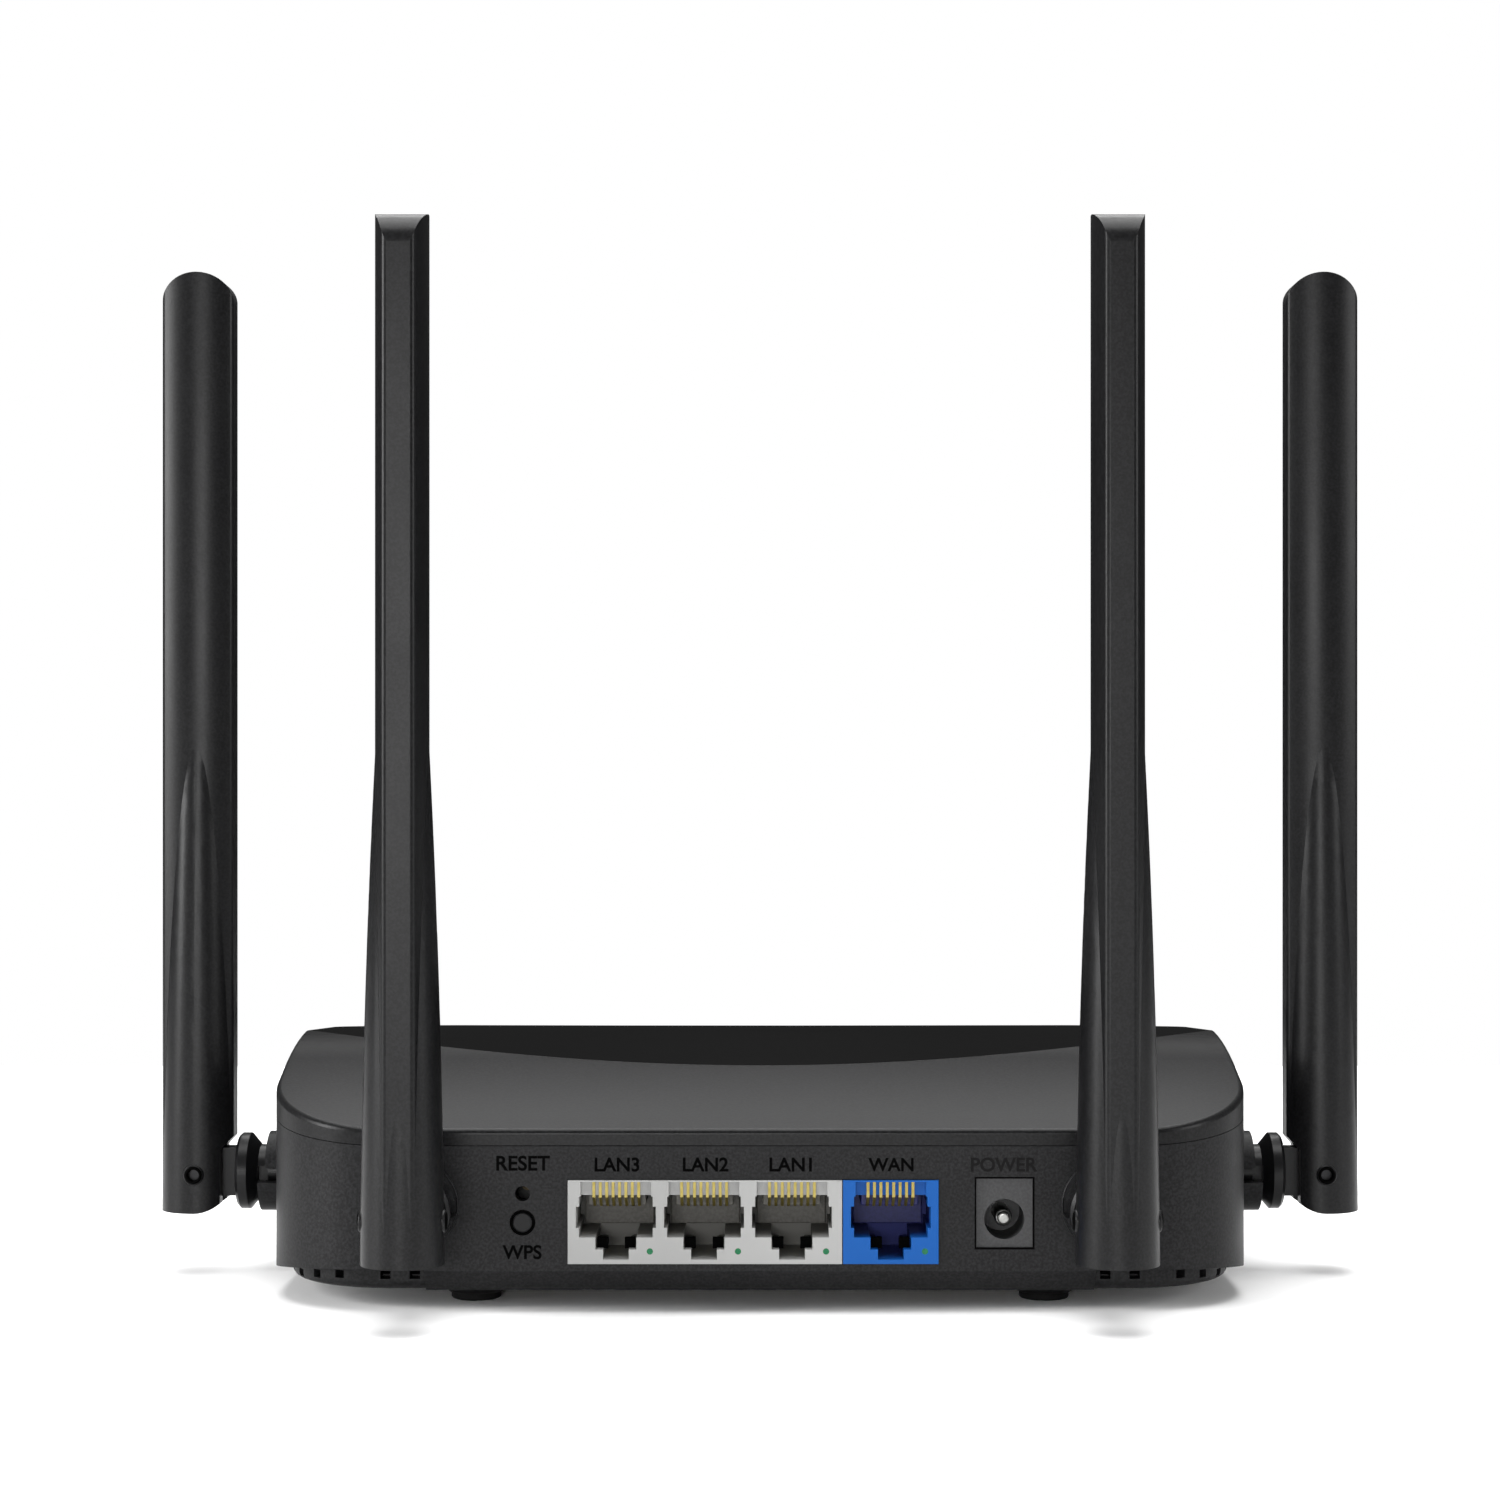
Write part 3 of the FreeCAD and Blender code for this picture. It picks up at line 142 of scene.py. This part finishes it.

# --------------------------------------------------------------------------------------------------
# Housing: the lower shell and the cover are moulded in black ABS and part along a seam. The mould's steel was
# spark-eroded, so the skin is dull with a fine grain. The cover's rear slope grows duller towards its crease,
# and its level front facet comes from polished steel and carries a painted shade of deeper black.
# --------------------------------------------------------------------------------------------------


def moulded(name, hex_colour, roughness, grain_mm=0.35, depth_mm=0.01, speckle=0.15, sheen=0.25):
    """A moulded material with a fine grain in height and tone, and a slow drift in gloss. The grain of a real
    mould is near 0.1 mm, drawn coarser so that it shows."""
    material, tree, shader = new_material(name, hex_colour, roughness)
    shader.inputs["Specular IOR Level"].default_value = sheen
    place = add_node(tree, "ShaderNodeTexCoord").outputs["Object"]
    grain = add_node(tree, "ShaderNodeTexNoise", {"Vector": place}, Scale=1 / (grain_mm * MM), Detail=3.0)
    drift = add_node(tree, "ShaderNodeTexNoise", {"Vector": place}, Scale=60.0, Detail=2.0)
    spots = add_node(tree, "ShaderNodeMapRange", {"Value": grain.outputs["Fac"]})
    spots.inputs["From Min"].default_value = 0.38
    spots.inputs["From Max"].default_value = 0.66
    tone = add_node(tree, "ShaderNodeMix", {"Factor": spots.outputs["Result"]}, data_type="RGBA")
    tone.inputs[6].default_value = tuple(c * (1 - speckle) for c in linear(hex_colour)[:3]) + (1,)
    tone.inputs[7].default_value = tuple(c * (1 + speckle) for c in linear(hex_colour)[:3]) + (1,)
    tree.links.new(tone.outputs[2], shader.inputs["Base Color"])
    gloss = add_node(tree, "ShaderNodeMapRange", {"Value": drift.outputs["Fac"]})
    gloss.inputs["To Min"].default_value = roughness - 0.05
    gloss.inputs["To Max"].default_value = roughness + 0.05
    tree.links.new(gloss.outputs["Result"], shader.inputs["Roughness"])
    height = {"Height": grain.outputs["Fac"]}
    bump = add_node(tree, "ShaderNodeBump", height, Strength=0.35, Distance=depth_mm * MM)
    tree.links.new(bump.outputs["Normal"], shader.inputs["Normal"])
    return material


def dress(material, *names):
    """Gives CAD nodes one material."""
    for name in names:
        nodes[name].data.materials.clear()
        nodes[name].data.materials.append(material)


shell_abs = moulded("spark_eroded_black_abs", "#161617", 0.44, 0.45, 0.03, speckle=0.5, sheen=0.13)
cover_abs = moulded("spark_eroded_black_abs_cover", "#0e0e0f", 0.36, 0.45, 0.03, speckle=0.6, sheen=0.16)
cover_tree = cover_abs.node_tree
cover_shader = cover_tree.nodes["Principled BSDF"]
cover_place = add_node(cover_tree, "ShaderNodeTexCoord")

# 1 on the level facet and 0 on the slope, told apart by the way the surface faces.
facing = add_node(cover_tree, "ShaderNodeSeparateXYZ", {"Vector": cover_place.outputs["Normal"]})
not_rearward = add_node(cover_tree, "ShaderNodeMapRange", {"Value": facing.outputs["Y"]})
not_rearward.inputs["From Min"].default_value = -0.24
not_rearward.inputs["From Max"].default_value = -0.06
upward = add_node(cover_tree, "ShaderNodeMapRange", {"Value": facing.outputs["Z"]})
upward.inputs["From Min"].default_value = 0.85
upward.inputs["From Max"].default_value = 0.95
level_facet = add_node(cover_tree, "ShaderNodeMath", operation="MULTIPLY")
cover_tree.links.new(not_rearward.outputs["Result"], level_facet.inputs[0])
cover_tree.links.new(upward.outputs["Result"], level_facet.inputs[1])

# Roughness: it rises up the slope, from near the rear edge to the crease, and is low on the facet.
axes = add_node(cover_tree, "ShaderNodeSeparateXYZ", {"Vector": cover_place.outputs["Object"]})
rise = {"Value": axes.outputs["Y"]}
slope_grain = add_node(cover_tree, "ShaderNodeMapRange", rise, To_Min=0.34, To_Max=0.7)
slope_grain.inputs["From Min"].default_value = -38 * MM
slope_grain.inputs["From Max"].default_value = -8 * MM
finish = add_node(cover_tree, "ShaderNodeMix", {"Factor": level_facet.outputs["Value"]}, data_type="FLOAT")
cover_tree.links.new(slope_grain.outputs["Result"], finish.inputs[2])
finish.inputs[3].default_value = 0.13
cover_tree.links.new(finish.outputs[0], cover_shader.inputs["Roughness"])

# Colour: the level facet is painted a deeper black than the slope, as painted shade.
grained_tone = cover_shader.inputs["Base Color"].links[0].from_socket
tone = add_node(cover_tree, "ShaderNodeMix", {"Factor": level_facet.outputs["Value"]}, data_type="RGBA")
cover_tree.links.new(grained_tone, tone.inputs[6])
tone.inputs[7].default_value = linear("#070707")
cover_tree.links.new(tone.outputs[2], cover_shader.inputs["Base Color"])

dress(shell_abs, "bottom_shell")
dress(cover_abs, "top_cover")

# --------------------------------------------------------------------------------------------------
# Lettering: the name of each socket and button, pad-printed on the rear wall in black ink. The ink lies
# 0.02 mm proud and is duller than the plastic around it.
# --------------------------------------------------------------------------------------------------

rear_wall_y = -40.0  # the wall's outer face, mm
ink_thickness = 0.02  # mm


def printed(words, x, z, ink, cap_height=2.1):
    """A word printed on the rear wall, centred on a point. Places and sizes are in millimetres."""
    bpy.ops.object.select_all(action="DESELECT")
    bpy.ops.object.text_add(location=(0, 0, 0))
    word = bpy.context.object
    word.name = f"print_{words.lower()}"
    word.data.body = words
    word.data.align_x = "CENTER"
    word.data.align_y = "CENTER"
    word.data.size = cap_height * MM / 0.69
    word.data.extrude = ink_thickness / 2 * MM
    word.data.offset = 0.07 * MM
    bpy.ops.object.convert(target="MESH")
    word.location = (x * MM, (rear_wall_y - ink_thickness / 2) * MM, z * MM)
    word.rotation_euler = (math.pi / 2, 0, 0)
    bpy.ops.object.transform_apply(location=True, rotation=True, scale=True)
    word.data.materials.append(ink)
    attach(word, "housing")


black_ink = moulded("black_pad_print_ink", "#030303", 0.8, grain_mm=0.12, depth_mm=0.004, sheen=0.02)
faint_ink = moulded("worn_pad_print_ink", "#0f0f0f", 0.7, grain_mm=0.12, depth_mm=0.004, sheen=0.08)
printed("RESET", -37.7, 23.7, black_ink, 2.25)
printed("WPS", -37.7, 9.6, black_ink)
printed("LAN3", -22.7, 23.5, black_ink)
printed("LAN2", -8.7, 23.5, black_ink)
printed("LAN1", 5.05, 23.5, black_ink)
printed("WAN", 20.9, 23.5, black_ink, 2.0)
printed("POWER", 38.6, 23.5, faint_ink)

# --------------------------------------------------------------------------------------------------
# Status lamps: white lamps on the board shine up a clear acrylic plate to a thin smoked strip that is pressed
# flush into the cover.
# --------------------------------------------------------------------------------------------------

# Acrylic takes the mould's polish, so the strip mirrors the room and hides what lies under it.
smoked = moulded("smoked_acrylic_strip", "#050506", 0.12, grain_mm=2.0, depth_mm=0.002)
clear = moulded("clear_moulded_acrylic", "#dfe4e4", 0.08, grain_mm=3.0, depth_mm=0.002)
clear.node_tree.nodes["Principled BSDF"].inputs["Transmission Weight"].default_value = 0.9
lamp_white = moulded("white_lamp_package", "#e6e3d6", 0.35, grain_mm=0.2, depth_mm=0.004)
dress(smoked, "light_bar")
dress(clear, "light_guide")
dress(lamp_white, "status_leds")

# --------------------------------------------------------------------------------------------------
# Antennas: a sleeve and a snap-on cover in dull black ABS, a shade smoother than the housing, around a thin
# green circuit that radiates.
# --------------------------------------------------------------------------------------------------

sites = ("rear_left", "rear_right", "side_left", "side_right")
antenna_abs = moulded("satin_black_antenna_abs", "#0f0f10", 0.36, 0.4, 0.02, speckle=0.5, sheen=0.18)
green_mask = moulded("green_solder_mask", "#12552f", 0.28, grain_mm=1.5, depth_mm=0.01, speckle=0.25)
for site in sites:
    dress(antenna_abs, f"antenna_sleeve_{site}", f"antenna_cover_{site}")
    dress(green_mask, f"radiator_board_{site}")

# --------------------------------------------------------------------------------------------------
# Hinges: the knuckle is glass-filled nylon with a smooth, slightly shiny skin. A blackened steel pin holds
# the antenna on its tongue, and a natural nylon clip holds its stub inside the housing. A bead is moulded
# round each boss and each pin hole, and a near-black ring round each end of the pin is a painted shadow.
# --------------------------------------------------------------------------------------------------

knuckle_nylon = moulded("black_glass_filled_nylon", "#0a0a0b", 0.32, grain_mm=0.6, depth_mm=0.006, sheen=0.2)


def moulded_ring(name, middle, outward, radius_mm, bead_mm, body, material):
    """A bead round a hole or a boss, half-round on its outward side. Its foot is twice as deep as the bead is
    high, and sinks into the part it is moulded with."""
    bpy.ops.object.select_all(action="DESELECT")
    bpy.ops.mesh.primitive_torus_add(
        major_radius=radius_mm * MM,
        minor_radius=bead_mm * MM,
        major_segments=64,
        minor_segments=12,
        location=(0, 0, 0),
    )
    ring = bpy.context.object
    ring.name = name
    for vertex in ring.data.vertices:
        vertex.select = vertex.co.z < -1e-6
    bpy.ops.object.mode_set(mode="EDIT")
    bpy.ops.transform.resize(value=(1, 1, 2), center_override=(0, 0, 0))
    bpy.ops.object.mode_set(mode="OBJECT")
    ring.location = middle
    ring.rotation_euler = Vector(outward).to_track_quat("Z", "Y").to_euler()
    bpy.ops.object.transform_apply(location=True, rotation=True, scale=True)
    bpy.ops.object.shade_smooth_by_angle(angle=math.radians(50))
    ring.data.materials.append(material)
    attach(ring, body)


pin_end = 6.24  # from the antenna's middle to the bead at either end of its pin, mm
boss_reach = 16.50  # from a hinge pin to the face of its boss, mm
clip_nylon = moulded("natural_nylon_clip", "#b9b8ae", 0.45, grain_mm=0.8, depth_mm=0.006)
# Painted shadow: a near-black ring at each end of the pin stands for the shade in the gap round it.
pin_gap_shadow_black = moulded("pin_gap_painted_shadow", "#020202", 0.7, grain_mm=0.2, sheen=0.02)
black_steel = moulded("blackened_steel_pin", "#2a2a2b", 0.34, grain_mm=0.15, depth_mm=0.005)
black_steel.node_tree.nodes["Principled BSDF"].inputs["Metallic"].default_value = 0.8
for site in sites:
    dress(knuckle_nylon, f"swivel_knuckle_{site}")
    dress(clip_nylon, f"retaining_clip_{site}")
    dress(black_steel, f"hinge_pin_{site}")
    low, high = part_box(f"hinge_pin_{site}")
    middle = (low + high) / 2
    across = Vector((1, 0, 0)) if site.startswith("rear") else Vector((0, 1, 0))
    for end, hand in (("a", -1), ("b", 1)):
        outward = across * hand
        spot = middle + outward * pin_end * MM
        body = f"antenna_{site}"
        bead = f"pin_hole_bead_{site}_{end}"
        pin_shadow_ring = f"pin_ring_{site}_{end}"
        moulded_ring(bead, spot, outward, 1.55, 0.20, body, antenna_abs)
        moulded_ring(pin_shadow_ring, spot, outward, 1.2, 0.3, body, pin_gap_shadow_black)
    inward = Vector((-middle.x, 0, 0)).normalized() if site.startswith("side") else Vector((0, 1, 0))
    face = middle + inward * boss_reach * MM
    moulded_ring(f"boss_bead_{site}", face, -inward, 6.85, 0.22, "housing", shell_abs)

# --------------------------------------------------------------------------------------------------
# Network sockets: three ganged in light grey PBT and one in blue, each with eight gilded springs on a darker
# carrier and a dark insert at its rear wall. Behind its mouth the moulding has painted shade.
# --------------------------------------------------------------------------------------------------


def socket_plastic(name, face_hex, painted_shade_hex):
    """Satin moulded plastic that falls from its face's colour to a painted shade colour behind the mouth."""
    material, tree, shader = new_material(name, face_hex, 0.42)
    place = add_node(tree, "ShaderNodeTexCoord").outputs["Object"]
    axes = add_node(tree, "ShaderNodeSeparateXYZ", {"Vector": place})
    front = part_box("lan_jack_block")[0].y
    shader.inputs["Specular IOR Level"].default_value = 0.12
    # Painted shade: the colour falls to the darker one from 1.5 mm to 8 mm behind the block's front face.
    depth = add_node(tree, "ShaderNodeMapRange", {"Value": axes.outputs["Y"]})
    depth.inputs["From Min"].default_value = front + 1.5 * MM
    depth.inputs["From Max"].default_value = front + 8.0 * MM
    tone = add_node(tree, "ShaderNodeMix", {"Factor": depth.outputs["Result"]}, data_type="RGBA")
    tone.inputs[6].default_value = linear(face_hex)
    tone.inputs[7].default_value = linear(painted_shade_hex)
    tree.links.new(tone.outputs[2], shader.inputs["Base Color"])
    grain = add_node(tree, "ShaderNodeTexNoise", {"Vector": place}, Scale=1 / (0.5 * MM), Detail=2.0)
    height = {"Height": grain.outputs["Fac"]}
    bump = add_node(tree, "ShaderNodeBump", height, Strength=0.2, Distance=0.005 * MM)
    tree.links.new(bump.outputs["Normal"], shader.inputs["Normal"])
    return material


def plain_block(name, x, y, z, material, slot, rounding_mm=0.15):
    """A small moulded block with eased edges, from (low, high) pairs in millimetres."""
    bpy.ops.object.select_all(action="DESELECT")
    bpy.ops.mesh.primitive_cube_add(size=1, location=(0, 0, 0))
    made = bpy.context.object
    made.name = name
    made.scale = [(high - low) * MM for low, high in (x, y, z)]
    made.location = [(high + low) / 2 * MM for low, high in (x, y, z)]
    bpy.ops.object.transform_apply(location=True, rotation=True, scale=True)
    ease = made.modifiers.new("eased_edges", "BEVEL")
    ease.width = rounding_mm * MM
    ease.segments = 2
    bpy.ops.object.modifier_apply(modifier=ease.name)
    made.data.materials.append(material)
    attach(made, "housing")


# PBT moulds with a satin skin: the faces stay clean and even, and only a soft highlight shows.
# The second colour of each is painted shade for the inside of the socket.
grey_pbt = socket_plastic("light_grey_pbt", "#989897", "#6b6a66")
blue_pbt = socket_plastic("blue_pbt", "#0d4c92", "#1f2664")
carrier_pbt = moulded("dark_contact_carrier", "#5a5853", 0.45, grain_mm=0.5)
navy_pbt = moulded("navy_contact_carrier", "#23265e", 0.45, grain_mm=0.5)
# Painted shadow: near-black blocks stand for the shade in the latch pockets either side of each latch.
latch_pocket_shadow_black = moulded("painted_latch_pocket_shadow", "#020202", 0.8, grain_mm=0.5, sheen=0.02)
dress(grey_pbt, "lan_jack_block")
dress(blue_pbt, "wan_jack")
for name, x in (("lan3", -22.87), ("lan2", -8.9), ("lan1", 5.07), ("wan", 20.75)):
    plastic = navy_pbt if name == "wan" else carrier_pbt
    slot = "jack_blue" if name == "wan" else "jack_grey"
    carrier = ((x - 4.6, x + 4.6), (-35.1, -26.0), (16.5, 18.5))
    insert = ((x - 5.6, x + 5.6), (-26.6, -25.5), (12.3, 18.4))
    plain_block(f"{name}_contact_carrier", *carrier, plastic, slot)
    plain_block(f"{name}_rear_insert", *insert, plastic, slot)
    for side, hand in (("left", -1), ("right", 1)):
        middle = x + hand * 2.2
        pocket = ((middle - 0.85, middle + 0.85), (-38.6, -37.3), (10.1, 11.8))
        plain_block(f"{name}_latch_pocket_{side}", *pocket, latch_pocket_shadow_black, slot, 0.05)

# Thin gold over nickel: a satin, slightly cloudy yellow that darkens where the spring bends into the shade.
gilt, gilt_tree, gilt_shader = new_material("gold_plated_contact", "#85763a", 0.4, 0.75)
gilt_place = add_node(gilt_tree, "ShaderNodeTexCoord").outputs["Object"]
gilt_wear = add_node(gilt_tree, "ShaderNodeTexNoise", {"Vector": gilt_place}, Scale=900.0, Detail=2.0)
gilt_tone = add_node(gilt_tree, "ShaderNodeMix", {"Factor": gilt_wear.outputs["Fac"]}, data_type="RGBA")
gilt_tone.inputs[6].default_value = linear("#6e612c")
gilt_tone.inputs[7].default_value = linear("#9d8f52")
gilt_tree.links.new(gilt_tone.outputs[2], gilt_shader.inputs["Base Color"])
dress(gilt, "lan_contacts", "wan_contacts")
green_pipe = moulded("green_light_pipe", "#0b5e38", 0.2, grain_mm=0.3, depth_mm=0.002)
dress(green_pipe, "link_lamps")

# --------------------------------------------------------------------------------------------------
# Power inlet: a charcoal PBT body in its own window, with a turned and nickel-plated centre pin that is
# thicker at its root. Near-black strips in the gap between the body and the window are a painted shadow.
# --------------------------------------------------------------------------------------------------

inlet_pbt = moulded("charcoal_inlet_pbt", "#323233", 0.42, grain_mm=0.4)
dress(inlet_pbt, "inlet_housing")
nickel = moulded("nickel_plated_pin", "#8c8c8a", 0.28, grain_mm=0.3, depth_mm=0.003, speckle=0.08)
nickel.node_tree.nodes["Principled BSDF"].inputs["Metallic"].default_value = 1.0
dress(nickel, "inlet_pin")
pin_low, pin_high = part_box("inlet_pin")
pin_middle = (pin_low + pin_high) / 2
pin_bare = 0.9  # length of the pin's tip in front of its thick root, mm
root_start = pin_low.y + pin_bare * MM
bpy.ops.object.select_all(action="DESELECT")
bpy.ops.mesh.primitive_cylinder_add(
    vertices=48,
    radius=1.4 * MM,
    depth=pin_high.y - root_start,
    location=(pin_middle.x, (root_start + pin_high.y) / 2, pin_middle.z),
    rotation=(math.pi / 2, 0, 0),
)
pin_root = bpy.context.object
pin_root.name = "inlet_pin_root"
bpy.ops.object.transform_apply(location=True, rotation=True, scale=True)
pin_root_edge = pin_root.modifiers.new("turned_edge", "BEVEL")
pin_root_edge.width = 0.45 * MM
pin_root_edge.segments = 4
bpy.ops.object.modifier_apply(modifier=pin_root_edge.name)
bpy.ops.object.shade_smooth_by_angle(angle=math.radians(40))
pin_root.data.materials.append(nickel)
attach(pin_root, "housing")

# Painted shadow: near-black strips fill the gap round the inlet's body, where there is only shade.
gap_shadow_black = moulded("painted_gap_shadow", "#020202", 0.75, grain_mm=0.4, sheen=0.02)
inlet_low, inlet_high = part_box("inlet_housing")
inlet_left, inlet_right = inlet_low.x / MM, inlet_high.x / MM
inlet_bottom, inlet_top = 10.4, 21.4
gap_shadow_width = 0.25  # width of the painted gap shadow, mm. It starts 0.01 mm inside the body's edge.
gap_shadow_depth = (rear_wall_y - 0.02, rear_wall_y + 0.8)
gap_shadow_height = (inlet_bottom - gap_shadow_width, inlet_top + gap_shadow_width)
for name, x, z in (
    ("left", (inlet_left - gap_shadow_width, inlet_left + 0.01), gap_shadow_height),
    ("right", (inlet_right - 0.01, inlet_right + gap_shadow_width), gap_shadow_height),
    ("bottom", (inlet_left, inlet_right), (inlet_bottom - gap_shadow_width, inlet_bottom + 0.01)),
    ("top", (inlet_left, inlet_right), (inlet_top - 0.01, inlet_top + gap_shadow_width)),
):
    plain_block(f"inlet_gap_shadow_{name}", x, gap_shadow_depth, z, gap_shadow_black, "inlet_black", 0.02)

# --------------------------------------------------------------------------------------------------
# Buttons: a dull black cap over one push switch, with a near-black ring round it as a painted shadow of its
# gap, and a second switch whose brown plunger is reached with a pin through the reset hole.
# --------------------------------------------------------------------------------------------------

button_abs = moulded("black_button_abs", "#111112", 0.42, grain_mm=0.3, sheen=0.15)
switch_pbt = moulded("black_switch_body", "#1e1e1e", 0.4, grain_mm=0.5)
plunger_pbt = moulded("olive_brown_plunger", "#6a5a34", 0.4, grain_mm=0.4)
dress(button_abs, "wps_button_cap")
cap_low, cap_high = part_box("wps_button_cap")
cap_middle = (cap_low + cap_high) / 2
# Painted shadow: a near-black ring fills the gap round the cap.
gap_shadow_spot = (cap_middle.x, (rear_wall_y + 0.22) * MM, cap_middle.z)
rearward = (0, -1, 0)
moulded_ring("wps_button_gap_shadow", gap_shadow_spot, rearward, 1.84, 0.205, "housing", gap_shadow_black)
dress(switch_pbt, "wps_switch_body", "reset_switch_body")
dress(plunger_pbt, "wps_switch_plunger", "reset_switch_plunger")

# --------------------------------------------------------------------------------------------------
# Circuit board: green glass-epoxy with soldered packages, tinned steel shields over the radios, and an
# extruded aluminium heat sink on a soft pad.
# --------------------------------------------------------------------------------------------------

epoxy = moulded("black_epoxy_package", "#171717", 0.5, grain_mm=0.2)
silicone = moulded("blue_grey_silicone_pad", "#8a93a3", 0.7, grain_mm=0.6)
extruded = moulded("extruded_aluminium", "#c3c4c6", 0.35, grain_mm=0.4, depth_mm=0.006, speckle=0.08)
tinned = moulded("tin_plated_shield", "#bcbcba", 0.3, grain_mm=1.2, depth_mm=0.006, speckle=0.08)
sleeved = moulded("sleeved_capacitor", "#3b4048", 0.35, grain_mm=0.8)
jacket = moulded("black_coaxial_jacket", "#131313", 0.5, grain_mm=0.3)
for metal in (extruded, tinned):
    metal.node_tree.nodes["Principled BSDF"].inputs["Metallic"].default_value = 1.0
dress(green_mask, "main_board")
dress(epoxy, "processor", "line_transformers")
dress(silicone, "thermal_pad")
dress(extruded, "heat_sink")
dress(tinned, "radio_shields")
dress(sleeved, "capacitors")
dress(jacket, *[f"antenna_lead_{site}" for site in sites])

# --------------------------------------------------------------------------------------------------
# Screws and feet: zinc-plated pan heads deep in their recesses, and black rubber feet pressed into the base.
# --------------------------------------------------------------------------------------------------

# Zinc plate looks grey and faintly cloudy. Rubber hardly reflects, so the feet read as plain black.
zinc = moulded("zinc_plated_screw", "#b3b5b7", 0.32, grain_mm=0.25, depth_mm=0.004, speckle=0.1)
zinc.node_tree.nodes["Principled BSDF"].inputs["Metallic"].default_value = 1.0
dress(zinc, "case_screws", "board_screws")
rubber = moulded("black_moulded_rubber", "#0f0f0f", 0.72, grain_mm=0.5, depth_mm=0.02, sheen=0.15)
dress(rubber, "foot_rear_left", "foot_rear_right", "foot_front_left", "foot_front_right")
